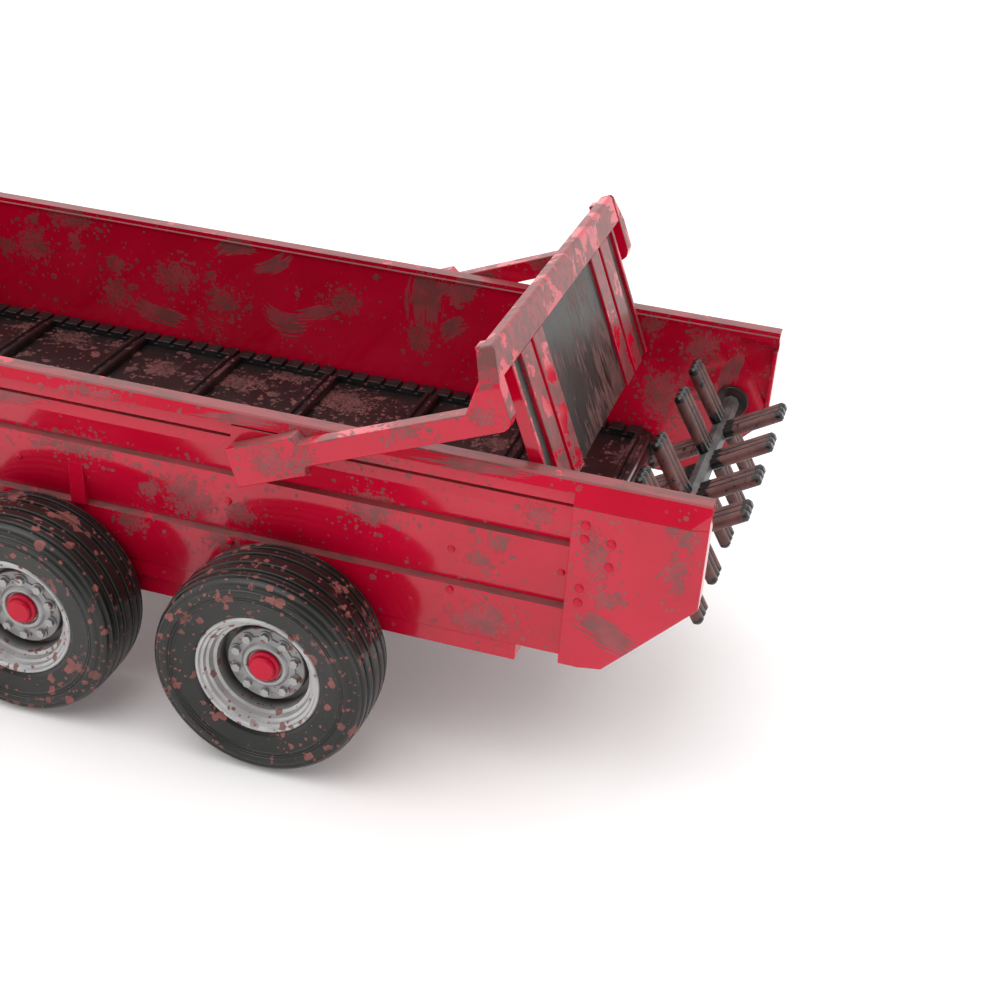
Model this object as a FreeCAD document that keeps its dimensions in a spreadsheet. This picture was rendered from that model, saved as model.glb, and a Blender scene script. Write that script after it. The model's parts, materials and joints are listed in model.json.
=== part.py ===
import FreeCAD, Part
import math
import os
import Sketcher
from FreeCAD import Placement, Rotation, Vector

# 1:16 model of a tandem-axle box manure spreader, in millimetres.
# +X is the towing direction, +Y the left side, +Z up; the wheels stand on z = 0.
# Each piece is drawn from the point on the ground under the rear axle and then moved
# by "rear_axle_x", which puts the origin under the middle of the whole model.

doc = FreeCAD.newDocument("ManureSpreader")

DIMENSIONS = {
    "rear_axle_x": -107.2035,
    # load box
    "box_rear": -122.8,
    "box_front": 208.0,
    "wall_inner": 61.6,
    "wall_skin": 64.2,
    "wall_foot": 47.4,
    "rim_top": 106.9,
    "rim_foot": 103.2,
    "rim_outer": 67.8,
    "rim_edge": 66.8,
    "strake_ledge": 66.0,
    "strake_ridge": 66.7,
    "strake_groove": 64.2,
    "plate_front": -85.0,
    "plate_outer": 68.9,
    "plate_top": 99.8,
    "bevel_depth": 1.5,
    "bevel_width": 5.0,
    "plate_heel": -97.6,
    "plate_knee": 74.0,
    "skin_rear": -121.2,
    "recess_top": -107.5,
    "recess_foot": 80.0,
    "front_panel_thick": 3.0,
    # floor and apron
    "floor_top": 61.3,
    "floor_thick": 2.3,
    "roller_x": -81.0,
    "roller_z": 57.0,
    "slat_pitch": 38.8,
    "slat_first": -81.6,
    "slat_width": 5.6,
    "slat_height": 3.1,
    "chain_inner": 54.4,
    "chain_outer": 60.4,
    "chain_pitch": 6.4667,
    "chain_strap": 1.3,
    "chain_rise": 1.4,
    # running gear
    "axle_gap": 81.1,
    "axle_high": 34.0,
    "axle_radius": 2.42,
    "axle_collar": 4.0,
    "axle_half": 85.3,
    "track_half": 79.7,
    "tyre_radius": 34.0,
    "tyre_half": 12.8,
    "rim_radius": 19.95,
    "hub_bore": 2.5,
    "disc_face": 3.8,
    "disc_edge": 12.5,
    "moat_floor": 0.8,
    "moat_outer": 14.5,
    "bolt_circle": 9.75,
    "bolt_flats": 2.5,
    "lug_radius": 2.0,
    "cap_front": 7.3,
    "cap_collar": 5.0,
    "cap_radius": 4.1,
    "rail_foot": 41.6,
    "rail_inner": 57.0,
    "rail_outer": 64.0,
    "rail_rear": -71.0,
    "beam_inner": 58.4,
    "beam_outer": 63.4,
    "beam_foot": 35.7,
    # drawbar
    "draw_foot": 33.6,
    "tongue_rear": 255.0,
    "tongue_front": 325.0,
    "tongue_half": 5.0,
    "eye_x": 337.0,
    "eye_outer": 8.0,
    "eye_bore": 3.2,
    "eye_foot": 35.6,
    "eye_thick": 4.0,
    "jack_x": 284.0,
    "jack_z": 37.6,
    # gate, drawn level about its pivot
    "pivot_x": 5.0,
    "pivot_z": 97.0,
    "gate_raise": 22.0,
    "arm_inner": 68.3,
    "arm_outer": 74.0,
    "arm_top": 2.6,
    "arm_foot": -4.3,
    "arm_end": -76.8,
    "block_half": 11.1,
    "block_top": 5.2,
    "block_foot": -7.0,
    "cross_front": -71.5,
    "cross_top": 18.7,
    "cross_foot": 9.3,
    "gate_foot": -35.3,
    "gate_plane": -75.0,
    "panel_half": 29.5,
    "post_outer": 51.0,
    "gate_half": 60.0,
    "pin_radius": 2.2,
    # beater
    "beater_x": -110.0,
    "beater_z": 79.5,
    "beater_turn": 30.9,
    "beater_reach": 23.4,
    "rib_radius": 1.8,
    "rib_pitch": 3.35,
    "tip_taper": 0.8,
    "journal_radius": 2.0,
    "shaft_flats": 5.6,
    "bearing_radius": 5.8,
    "paddle_pitch": 23.4,
}

sheet = doc.addObject("Spreadsheet::Sheet", "Dims")
for row, (alias, value) in enumerate(DIMENSIONS.items(), 1):
    sheet.set(f"A{row}", alias)
    sheet.set(f"B{row}", str(value))
    sheet.setAlias(f"B{row}", alias)
doc.recompute()

parts = []


def dim(name):
    """The value of one cell of the sheet."""
    return float(getattr(sheet, name))


def bound(text):
    """An expression whose plain names are cells of the sheet."""
    words = text.replace("(", " ( ").replace(")", " ) ").split()
    return " ".join("Dims." + word if word in DIMENSIONS else word for word in words)


def keep(piece, label):
    """Register a finished sub-part under the name of its file."""
    piece.Label = label
    parts.append(piece)
    return piece


def stand(piece, x="0", y="0", z="0", turn=None):
    """Put a piece at a place measured from the rear axle's ground point."""
    piece.Placement = Placement(Vector(), turn or Rotation())
    piece.setExpression("Placement.Base.x", bound(f"rear_axle_x + ( {x} )"))
    piece.setExpression("Placement.Base.y", bound(y))
    piece.setExpression("Placement.Base.z", bound(z))
    return piece


def hang(piece):
    """Put a piece that is drawn about the gate's pivot where the raised gate holds it."""
    return stand(piece, "pivot_x", "0", "pivot_z", Rotation(Vector(0, 1, 0), dim("gate_raise")))


def plane(body, name):
    for feature in body.Origin.OriginFeatures:
        if feature.Role == name:
            return feature
    raise ValueError(name)


def sketch_on(body, name, start):
    """An empty sketch on one of the body's own planes, moved off it by an expression."""
    sketch = body.newObject("Sketcher::SketchObject", "Sketch")
    sketch.AttachmentSupport = (plane(body, name), [""])
    sketch.MapMode = "FlatFace"
    if start != "0":
        sketch.setExpression("AttachmentOffset.Base.z", bound(start))
    return sketch


def pin_point(sketch, line, across, up):
    """Fix a line's start point by two distances from the sketch's origin."""
    for kind, text in (("DistanceX", across), ("DistanceY", up)):
        point = sketch.getPoint(line, 1)
        first = point.x if kind == "DistanceX" else point.y
        index = sketch.addConstraint(Sketcher.Constraint(kind, -1, 1, line, 1, first))
        sketch.setExpression(f"Constraints[{index}]", bound(text))


def outline(sketch, points):
    """A closed polygon whose corners are pairs of expressions."""
    count = len(points)
    ring = []
    for step in range(count):
        angle = 2 * math.pi * (step + 0.3) / count
        ring.append(Vector(50 * math.cos(angle), 50 * math.sin(angle), 0))
    first = sketch.GeometryCount
    for step in range(count):
        sketch.addGeometry(Part.LineSegment(ring[step], ring[(step + 1) % count]))
    for step in range(count):
        after = (step + 1) % count
        sketch.addConstraint(Sketcher.Constraint("Coincident", first + step, 2, first + after, 1))
    for step, (across, up) in enumerate(points):
        pin_point(sketch, first + step, across, up)
    return sketch


def circle(sketch, across, up, radius):
    """A circle whose centre and radius are expressions."""
    index = sketch.addGeometry(Part.Circle(Vector(1, 1, 0), Vector(0, 0, 1), 1))
    for kind, text in (("DistanceX", across), ("DistanceY", up)):
        place = sketch.addConstraint(Sketcher.Constraint(kind, -1, 1, index, 3, 1.0))
        sketch.setExpression(f"Constraints[{place}]", bound(text))
    size = sketch.addConstraint(Sketcher.Constraint("Radius", index, 1.0))
    sketch.setExpression(f"Constraints[{size}]", bound(radius))
    return sketch


def new_body():
    return doc.addObject("PartDesign::Body", "Body")


# The XZ plane's normal is -Y, so heights above it are measured the other way.
def facing(name, start):
    return f"-1 * ( {start} )" if name == "XZ_Plane" else start


def pad(body, name, draw, start, length):
    """Pad a drawn sketch from start to start + length along the plane's axis."""
    sketch = sketch_on(body, name, facing(name, start))
    draw(sketch)
    feature = body.newObject("PartDesign::Pad", "Pad")
    feature.Profile = sketch
    feature.Reversed = name == "XZ_Plane"
    feature.setExpression("Length", bound(length))
    body.Tip = feature
    return feature


def cut(body, name, draw, start, length):
    """Cut a drawn sketch from start to start + length along the plane's axis."""
    doc.recompute()
    before = body.Shape.Volume
    sketch = sketch_on(body, name, facing(name, start))
    draw(sketch)
    feature = body.newObject("PartDesign::Pocket", "Pocket")
    feature.Profile = sketch
    feature.Reversed = name != "XZ_Plane"
    feature.setExpression("Length", bound(length))
    body.Tip = feature
    doc.recompute()
    if body.Shape.Volume >= before - 1e-6:
        raise RuntimeError(f"a pocket in {body.Name} removes nothing")
    return feature


def spin(body, points):
    """Turn an outline of (y, radius) pairs about the body's Y axis."""
    sketch = sketch_on(body, "YZ_Plane", "0")
    outline(sketch, points)
    feature = body.newObject("PartDesign::Revolution", "Revolution")
    feature.Profile = sketch
    feature.ReferenceAxis = (sketch, ["H_Axis"])
    feature.Angle = 360
    body.Tip = feature
    return feature


def polygon(points):
    return lambda sketch: outline(sketch, points)


def block(low_a, low_b, high_a, high_b):
    return polygon([(low_a, low_b), (high_a, low_b), (high_a, high_b), (low_a, high_b)])


def disc(across, up, radius):
    return lambda sketch: circle(sketch, across, up, radius)


def mirrored(points, side):
    """An outline's first coordinates on the left (1) or the right (-1) side."""
    if side > 0:
        return points
    return [(f"-1 * ( {across} )", up) for across, up in points]


def span(side, low, length):
    """Start of a pad that covers low to low + length on the left, or its mirror image."""
    return low if side > 0 else f"-1 * ( {low} ) - ( {length} )"


def spread(side, low, high):
    """Start and length of a pad between two distances from the centre plane."""
    length = f"{high} - ( {low} )"
    return span(side, low, length), length


SIDES = (("left", 1), ("right", -1))

# ---------------------------------------------------------------- side walls
# The rim leans outwards below its flat top. Under it the outer face has three pressed
# strakes: each starts at a narrow ledge, leans out to a ridge and falls back to the
# groove above the next ledge.
STRAKE_FACE = [
    ("rim_edge - 0.5", "rim_top"),
    ("rim_edge", "rim_top - 0.5"),
    ("rim_outer", "rim_foot"),
    ("rim_outer - 1.0", "rim_foot - 0.5"),
    ("rim_outer - 1.0", "rim_top - 7.6"),
    ("strake_groove + 0.8", "rim_top - 8.0"),
    ("strake_groove + 0.8", "rim_top - 8.6"),
    ("strake_ledge", "rim_top - 9.0"),
    ("strake_ridge", "rim_top - 12.4"),
    ("strake_groove + 0.4", "rim_top - 20.4"),
    ("strake_groove", "rim_top - 21.0"),
    ("strake_ledge", "rim_top - 21.8"),
    ("strake_ridge", "rim_top - 28.1"),
    ("strake_groove - 0.6", "rim_top - 41.5"),
    ("strake_groove - 1.0", "rim_top - 42.1"),
    ("strake_ledge - 0.8", "rim_top - 43.1"),
    ("strake_ledge - 0.4", "rim_top - 49.9"),
    ("strake_groove", "wall_foot"),
]
INNER_FACE = [
    ("wall_inner", "wall_foot"),
    ("wall_inner", "rim_top - 2.5"),
    ("wall_inner - 0.4", "rim_top - 2.2"),
    ("wall_inner - 0.4", "rim_top - 1.7"),
    ("wall_inner", "rim_top - 1.4"),
    ("wall_inner", "rim_top"),
]
REAR_FACE = [
    ("rim_edge - 0.5", "rim_top"),
    ("rim_edge", "rim_top - 0.5"),
    ("plate_outer", "plate_top"),
    ("wall_skin", "plate_top"),
    ("wall_skin", "wall_foot"),
]


def side_wall(name, side):
    body = new_body()
    face = polygon(mirrored(STRAKE_FACE + INNER_FACE, side))
    pad(body, "YZ_Plane", face, "plate_front", "box_front - plate_front")
    rear = polygon(mirrored(REAR_FACE + INNER_FACE, side))
    pad(body, "YZ_Plane", rear, "box_rear", "plate_front - box_rear")
    low, length = spread(side, "wall_inner - 1", "rim_outer + 1")
    heel = [
        ("plate_heel", "wall_foot"),
        ("plate_heel", "wall_foot - 1"),
        ("box_rear - 1", "wall_foot - 1"),
        ("box_rear - 1", "plate_knee"),
        ("box_rear", "plate_knee"),
    ]
    cut(body, "XZ_Plane", polygon(heel), low, length)
    low, length = spread(side, "wall_inner - 1", "wall_skin")
    recess = [
        ("recess_top", "rim_foot"),
        ("skin_rear", "recess_foot"),
        ("skin_rear", "wall_foot"),
        ("box_rear - 1", "wall_foot"),
        ("box_rear - 1", "rim_foot"),
    ]
    cut(body, "XZ_Plane", polygon(recess), low, length)
    corner = [
        ("box_rear + bevel_width", f"{side} * plate_outer"),
        ("box_rear - 1", f"{side} * ( plate_outer - 1.2 * bevel_depth )"),
        ("box_rear - 1", f"{side} * ( plate_outer + 1 )"),
        ("box_rear + bevel_width", f"{side} * ( plate_outer + 1 )"),
    ]
    cut(body, "XY_Plane", polygon(corner), "plate_top", "rim_top - plate_top")
    stand(body)
    keep(body, f"side_wall_{name}")


# Gusseted plate over each rear corner, with a broad bevel along its free edges and
# a narrow flange turned in along its rear edge.
def end_plate(name, side):
    body = new_body()
    low, length = spread(side, "wall_skin", "plate_outer")
    face = [
        ("plate_front", "wall_foot"),
        ("plate_heel", "wall_foot"),
        ("box_rear", "plate_knee"),
        ("box_rear", "plate_top"),
        ("plate_front", "plate_top"),
    ]
    pad(body, "XZ_Plane", polygon(face), low, length)
    doc.recompute()
    edges = []
    for index, edge in enumerate(body.Shape.Edges, 1):
        ends = [vertex.Point for vertex in edge.Vertexes]
        if any(abs(abs(end.y) - dim("plate_outer")) > 0.01 for end in ends):
            continue
        behind = all(end.x < dim("plate_heel") + 0.01 for end in ends)
        level = abs(ends[0].z - ends[1].z) < 0.01
        if behind and not level:
            edges.append(f"Edge{index}")
    plain = body.Tip
    bevel = body.newObject("PartDesign::Chamfer", "Chamfer")
    bevel.Base = (plain, edges)
    bevel.ChamferType = "Two distances"
    bevel.setExpression("Size", "Dims.bevel_depth")
    bevel.setExpression("Size2", "Dims.bevel_width")
    body.Tip = bevel
    low, length = spread(side, "wall_inner", "wall_skin")
    flange = block("box_rear", "recess_foot - 4", "skin_rear - 0.1", "plate_top")
    pad(body, "XZ_Plane", flange, low, length)
    stand(body)
    keep(body, f"end_plate_{name}")


def front_panel():
    body = new_body()
    rear = "box_front - front_panel_thick"
    lower = block("-1 * wall_inner", "wall_foot", "wall_inner", "rim_top - 2.5")
    pad(body, "YZ_Plane", lower, rear, "front_panel_thick")
    upper = block("0.4 - wall_inner", "rim_top - 2.5", "wall_inner - 0.4", "rim_top")
    pad(body, "YZ_Plane", upper, rear, "front_panel_thick")
    lip = block("-1 * rim_outer", "rim_foot", "rim_outer", "rim_top")
    pad(body, "YZ_Plane", lip, "box_front", "4")
    for place in ("-42", "-14", "14", "42"):
        rib = block(f"{place} - 2.5", "wall_foot", f"{place} + 2.5", "rim_foot")
        pad(body, "YZ_Plane", rib, "box_front", "2.4")
    stand(body)
    keep(body, "front_panel")


def side_posts():
    """Upright ribs that bridge the recess under the middle strake."""
    solids = []
    for name, side in SIDES:
        body = new_body()
        face = [
            ("strake_ridge", "rim_top - 28.1"),
            ("strake_groove - 0.6", "rim_top - 41.5"),
            ("strake_groove - 1.0", "rim_top - 42.1"),
            ("strake_ledge - 0.8", "rim_top - 43.1"),
            ("strake_ridge - 0.2", "rim_top - 42.6"),
        ]
        pad(body, "YZ_Plane", polygon(mirrored(face, side)), "67.6", "4.8")
        solids.append(stand(body))
    posts = doc.addObject("Part::Compound", "Compound")
    posts.Links = solids
    keep(posts, "side_posts")


# ---------------------------------------------------------------- rivets
def rivets():
    """Round rivet heads on the strakes and the rear corner plates."""
    heads = []
    spots = []
    slope = 3.1 / 13.4
    ridge_z = dim("rim_top") - 28.1
    for x in (-83.0, -50.2, 19.6, 89.4, 159.2):
        z = 76.5
        spots.append((x, dim("strake_ridge") - (ridge_z - z) * slope, z, 1.25, slope))
    for x in (-50.2, 19.6, 159.2):
        spots.append((x, dim("strake_ledge") - 0.65, 62.1, 1.25, 0))
    for z in (94.7, 90.2, 74.1, 69.4):
        spots.append((dim("plate_front") - 4.1, dim("plate_outer"), z, 1.45, 0))
    for z in (90.4, 82.9):
        spots.append((dim("plate_front") - 11.8, dim("plate_outer"), z, 1.45, 0))
    for name, side in SIDES:
        for x, y, z, radius, lean in spots:
            head = doc.addObject("Part::Cone", "Rivet")
            head.Radius1 = radius
            head.Radius2 = radius * 0.72
            head.Height = 0.7
            turn = Rotation(Vector(0, 0, 1), Vector(0, side, -lean))
            stand(head, str(round(x, 3)), str(round(side * y, 3)), str(z), turn)
            heads.append(head)
    group = doc.addObject("Part::Compound", "Compound")
    group.Links = heads
    keep(group, "rivets")


# ---------------------------------------------------------------- floor and apron
def nose(radius, steps=10):
    """Half circle round the rear roller, from its top to its underside."""
    points = []
    for step in range(steps + 1):
        angle = 90 + 180 * step / steps
        across = f"roller_x + ( {radius} ) * {math.cos(math.radians(angle)):.6f}"
        up = f"roller_z + ( {radius} ) * {math.sin(math.radians(angle)):.6f}"
        points.append((across, up))
    return points


def floor_pan():
    body = new_body()
    face = nose("floor_top - roller_z")
    face.append(("roller_x + 20", "2 * roller_z - floor_top"))
    face.append(("roller_x + 20", "floor_top - floor_thick"))
    face.append(("box_front - front_panel_thick", "floor_top - floor_thick"))
    face.append(("box_front - front_panel_thick", "floor_top"))
    pad(body, "XZ_Plane", polygon(face), "-1 * wall_inner", "2 * wall_inner")
    stand(body)
    keep(body, "floor_pan")


def apron_chain(name, side):
    """A flat strap round the rear roller with a raised plate for each chain link."""
    body = new_body()
    low, length = spread(side, "chain_inner", "chain_outer")
    face = nose("floor_top - roller_z + chain_strap")
    face += reversed(nose("floor_top - roller_z"))
    face.append(("box_front - front_panel_thick", "floor_top"))
    face.append(("box_front - front_panel_thick", "floor_top + chain_strap"))
    pad(body, "XZ_Plane", polygon(face), low, length)
    link = block(
        "roller_x",
        "floor_top + chain_strap - 0.2",
        "roller_x + chain_pitch * 0.78",
        "floor_top + chain_strap + chain_rise",
    )
    first = pad(body, "XZ_Plane", link, low, length)
    doc.recompute()
    row = body.newObject("PartDesign::LinearPattern", "LinearPattern")
    row.Originals = [first]
    row.Direction = (plane(body, "X_Axis"), [""])
    row.Mode = "Spacing"
    row.setExpression("Offset", bound("chain_pitch"))
    row.Occurrences = 44
    body.Tip = row
    doc.recompute()
    stand(body)
    keep(body, f"apron_chain_{name}")


def apron_slat(number):
    """A cross bar with two ridges, carried between the chains."""
    body = new_body()
    half = "slat_width / 2"
    face = [
        (f"{half}", "0"),
        (f"{half}", "slat_height * 0.7"),
        (f"{half} - 0.6", "slat_height"),
        (f"{half} - 1.8", "slat_height"),
        (f"{half} - 2.3", "slat_height * 0.6"),
        (f"2.3 - {half}", "slat_height * 0.6"),
        (f"1.8 - {half}", "slat_height"),
        (f"0.6 - {half}", "slat_height"),
        (f"-1 * {half}", "slat_height * 0.7"),
        (f"-1 * {half}", "0"),
    ]
    pad(body, "XZ_Plane", polygon(face), "-1 * chain_inner", "2 * chain_inner")
    stand(body, f"slat_first + slat_pitch * {number - 1}", "0", "floor_top")
    keep(body, f"apron_slat_{number}")


# ---------------------------------------------------------------- running gear
def subframe_rail(name, side):
    body = new_body()
    low, length = spread(side, "rail_inner", "rail_outer")
    face = block("rail_rear", "rail_foot", "box_front", "wall_foot")
    pad(body, "XZ_Plane", face, low, length)
    stand(body)
    keep(body, f"subframe_rail_{name}")


def bogie_beam(name, side):
    """Deep beam under the rail, with a rounded lobe down to each axle."""
    body = new_body()
    low, length = spread(side, "beam_inner", "beam_outer")
    face = [("axle_gap + 24", "rail_foot"), ("-24", "rail_foot"), ("-16", "beam_foot")]
    for centre in ("0", "axle_gap"):
        for angle in (170, 205, 240, 270, 300, 335, 370):
            across = f"{centre} + 7 * {math.cos(math.radians(angle)):.5f}"
            up = f"axle_high + 7 * {math.sin(math.radians(angle)):.5f}"
            face.append((across, up))
        if centre == "0":
            face.append(("12", "beam_foot"))
            face.append(("axle_gap - 12", "beam_foot"))
    face.append(("axle_gap + 16", "beam_foot"))
    pad(body, "XZ_Plane", polygon(face), low, length)
    for centre in ("0", "axle_gap"):
        cut(body, "XZ_Plane", disc(centre, "axle_high", "axle_radius + 0.02"), low, length)
    stand(body)
    keep(body, f"bogie_beam_{name}")


def cross_members():
    members = []
    for x in ("-60", "40", "140", "196"):
        body = new_body()
        face = block(x, "rail_foot", f"{x} + 9", "wall_foot")
        pad(body, "XZ_Plane", face, "-1 * rail_inner", "2 * rail_inner")
        members.append(stand(body))
    group = doc.addObject("Part::Compound", "Compound")
    group.Links = members
    keep(group, "cross_members")


def axle(name, x):
    """Round axle with a collar outside each bogie beam."""
    body = new_body()
    radius = "axle_radius"
    inner = "beam_outer + 0.1"
    outer = "track_half - 3.4"
    face = [
        ("-1 * axle_half", "0"),
        ("-1 * axle_half", radius),
        (f"-1 * ( {outer} )", radius),
        (f"-1 * ( {outer} )", "axle_collar"),
        (f"-1 * ( {inner} )", "axle_collar"),
        (f"-1 * ( {inner} )", radius),
        (inner, radius),
        (inner, "axle_collar"),
        (outer, "axle_collar"),
        (outer, radius),
        ("axle_half", radius),
        ("axle_half", "0"),
    ]
    spin(body, face)
    stand(body, x, "0", "axle_high")
    keep(body, f"axle_{name}")


TREAD = [
    ("2.0", "tyre_radius"),
    ("2.3", "tyre_radius - 1.1"),
    ("3.2", "tyre_radius - 1.1"),
    ("3.5", "tyre_radius - 0.1"),
    ("6.3", "tyre_radius - 0.2"),
    ("6.6", "tyre_radius - 1.2"),
    ("7.4", "tyre_radius - 1.2"),
    ("7.7", "tyre_radius - 0.3"),
    ("9.6", "tyre_radius - 0.6"),
    ("9.9", "tyre_radius - 1.5"),
    ("10.5", "tyre_radius - 1.6"),
    ("10.8", "tyre_radius - 0.9"),
    ("11.7", "tyre_radius - 1.4"),
    ("12.4", "tyre_radius - 2.3"),
    ("tyre_half - 0.8", "tyre_radius - 2.9"),
    ("tyre_half - 0.7", "tyre_radius - 3.5"),
    ("tyre_half - 0.1", "tyre_radius - 3.9"),
    ("tyre_half", "tyre_radius - 4.9"),
    ("tyre_half - 0.1", "tyre_radius - 5.6"),
    ("tyre_half - 0.6", "tyre_radius - 5.9"),
    ("tyre_half - 0.3", "tyre_radius - 6.3"),
    ("tyre_half - 0.8", "tyre_radius - 6.8"),
    ("tyre_half - 1.0", "tyre_radius - 7.6"),
    ("tyre_half - 1.7", "rim_radius + 1.2"),
    ("tyre_half - 2.3", "rim_radius + 0.05"),
]
RIM = [
    ("-10.4", "rim_radius"),
    ("tyre_half - 2.3", "rim_radius"),
    ("tyre_half - 1.9", "rim_radius - 0.4"),
    ("tyre_half - 2.0", "rim_radius - 1.1"),
    ("tyre_half - 2.8", "rim_radius - 1.5"),
    ("tyre_half - 3.1", "rim_radius - 2.3"),
    ("tyre_half - 4.1", "rim_radius - 2.7"),
    ("tyre_half - 4.5", "rim_radius - 3.5"),
    ("tyre_half - 6.3", "rim_radius - 4.1"),
    ("tyre_half - 6.7", "moat_outer + 0.4"),
    ("moat_floor", "moat_outer"),
    ("moat_floor", "disc_edge + 0.2"),
    ("disc_face - 0.3", "disc_edge"),
    ("disc_face", "disc_edge - 0.3"),
    ("disc_face", "bolt_circle - 0.1"),
    ("disc_face + 0.4", "bolt_circle - 0.2"),
    ("disc_face + 0.4", "7.7"),
    ("disc_face + 0.8", "7.3"),
    ("disc_face + 1.2", "6.8"),
    ("disc_face + 1.2", "5.9"),
    ("disc_face + 0.4", "5.3"),
    ("disc_face + 0.4", "hub_bore"),
    ("-3", "hub_bore"),
    ("-3", "5"),
    ("moat_floor - 2", "5"),
    ("moat_floor - 2", "moat_outer + 0.9"),
    ("-10.4", "rim_radius - 2.1"),
]
CAP = [
    ("disc_face + 0.45", "axle_radius + 0.2"),
    ("disc_face + 0.45", "cap_collar"),
    ("disc_face + 1.5", "cap_collar"),
    ("disc_face + 1.8", "cap_collar - 0.4"),
    ("disc_face + 1.8", "cap_radius"),
    ("cap_front - 0.5", "cap_radius - 0.1"),
    ("cap_front", "cap_radius - 0.6"),
    ("cap_front", "0"),
    ("cap_front - 1.2", "0"),
    ("cap_front - 1.2", "axle_radius + 0.2"),
]


def hexagon(across, up, flats):
    """A hexagon about a point, from its size across the flats."""
    points = []
    for step in range(6):
        angle = math.radians(60 * step + 30)
        side = f"{across} + {flats} / 1.7320508 * {math.cos(angle):.6f}"
        rise = f"{up} + {flats} / 1.7320508 * {math.sin(angle):.6f}"
        points.append((side, rise))
    return polygon(points)


def wheel(corner, x, side):
    turn = Rotation() if side > 0 else Rotation(Vector(0, 0, 1), 180)
    place = ("0" if x == "rear" else "axle_gap", f"{side} * track_half", "axle_high", turn)
    tyre = new_body()
    inner_side = [(f"-1 * ( {across} )", up) for across, up in reversed(TREAD)]
    spin(tyre, TREAD + inner_side)
    stand(tyre, *place)
    keep(tyre, f"tyre_{corner}")
    rim = new_body()
    spin(rim, RIM)
    washer = pad(rim, "XZ_Plane", disc("0", "bolt_circle", "lug_radius"), "disc_face - 0.2", "0.6")
    nut = pad(rim, "XZ_Plane", hexagon("0", "bolt_circle", "bolt_flats"), "disc_face", "1.5")
    doc.recompute()
    ring = rim.newObject("PartDesign::PolarPattern", "PolarPattern")
    ring.Originals = [washer, nut]
    ring.Axis = (plane(rim, "Y_Axis"), [""])
    ring.Angle = 360
    ring.Occurrences = 10
    rim.Tip = ring
    doc.recompute()
    stand(rim, *place)
    keep(rim, f"wheel_rim_{corner}")
    cap = new_body()
    spin(cap, CAP)
    stand(cap, *place)
    keep(cap, f"hub_cap_{corner}")


# ---------------------------------------------------------------- drawbar
def drawbar_beam(name, side):
    """One leg of the A-frame, from the second cross member to the tongue."""
    body = new_body()
    face = [
        ("144", "52"),
        ("144", "42"),
        ("tongue_rear", "tongue_half"),
        ("tongue_rear + 18", "tongue_half"),
        ("tongue_rear + 18", "tongue_half + 2"),
    ]
    if side < 0:
        face = [(across, f"-1 * ( {up} )") for across, up in face]
    pad(body, "XY_Plane", polygon(face), "draw_foot", "rail_foot - draw_foot")
    stand(body)
    keep(body, f"drawbar_beam_{name}")


def tongue():
    body = new_body()
    face = block("tongue_rear", "-1 * tongue_half", "tongue_front", "tongue_half")
    pad(body, "XY_Plane", face, "draw_foot", "rail_foot - draw_foot")
    stand(body)
    keep(body, "drawbar_tongue")


def hitch_eye():
    """Flat towing ring with an upright bore, on a short neck."""
    body = new_body()
    pad(body, "XY_Plane", disc("eye_x", "0", "eye_outer"), "eye_foot", "eye_thick")
    neck = block("tongue_front", "-4", "eye_x - 4", "4")
    pad(body, "XY_Plane", neck, "eye_foot", "eye_thick")
    cut(body, "XY_Plane", disc("eye_x", "0", "eye_bore"), "eye_foot", "eye_thick")
    stand(body)
    keep(body, "hitch_eye")


def jack():
    """Folding parking leg on a bracket at the left of the tongue."""
    bracket = new_body()
    face = block("jack_x - 5", "draw_foot", "jack_x + 5", "rail_foot")
    pad(bracket, "XZ_Plane", face, "tongue_half", "1.5")
    pad(bracket, "XZ_Plane", disc("jack_x", "jack_z", "1.6"), "tongue_half + 1.5", "5.2")
    stand(bracket)
    keep(bracket, "jack_bracket")
    leg = new_body()
    shank = [
        ("-3", "-1 * jack_z + 2"),
        ("3", "-1 * jack_z + 2"),
        ("3", "2"),
        ("1.5", "3.4"),
        ("-1.5", "3.4"),
        ("-3", "2"),
    ]
    pad(leg, "XZ_Plane", polygon(shank), "0", "4.6")
    foot = block("-6", "-1 * jack_z", "6", "-1 * jack_z + 2")
    pad(leg, "XZ_Plane", foot, "-1.4", "8")
    cut(leg, "XZ_Plane", disc("0", "0", "1.66"), "0", "4.6")
    stand(leg, "jack_x", "tongue_half + 1.9", "jack_z")
    keep(leg, "jack_leg")


# ---------------------------------------------------------------- gate
def gate_bracket(name, side):
    """Plate on the wall behind each arm, just clear of it."""
    body = new_body()
    low, length = spread(side, "rim_outer - 1", "arm_inner - 0.3")
    face = block("pivot_x - 11", "pivot_z - 5.8", "pivot_x + 13", "rim_foot - 0.5")
    pad(body, "XZ_Plane", face, low, length)
    stand(body)
    keep(body, f"gate_bracket_{name}")


def gate_pins():
    pins = []
    for name, side in SIDES:
        pin = doc.addObject("Part::Cylinder", "Pin")
        pin.setExpression("Radius", bound("pin_radius"))
        pin.setExpression("Height", bound("arm_outer - arm_inner - 1.5"))
        turn = Rotation(Vector(0, 0, 1), Vector(0, side, 0))
        stand(pin, "pivot_x", f"{side} * ( arm_inner - 0.3 )", "pivot_z", turn)
        pins.append(pin)
    group = doc.addObject("Part::Compound", "Compound")
    group.Links = pins
    keep(group, "gate_pins")


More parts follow.
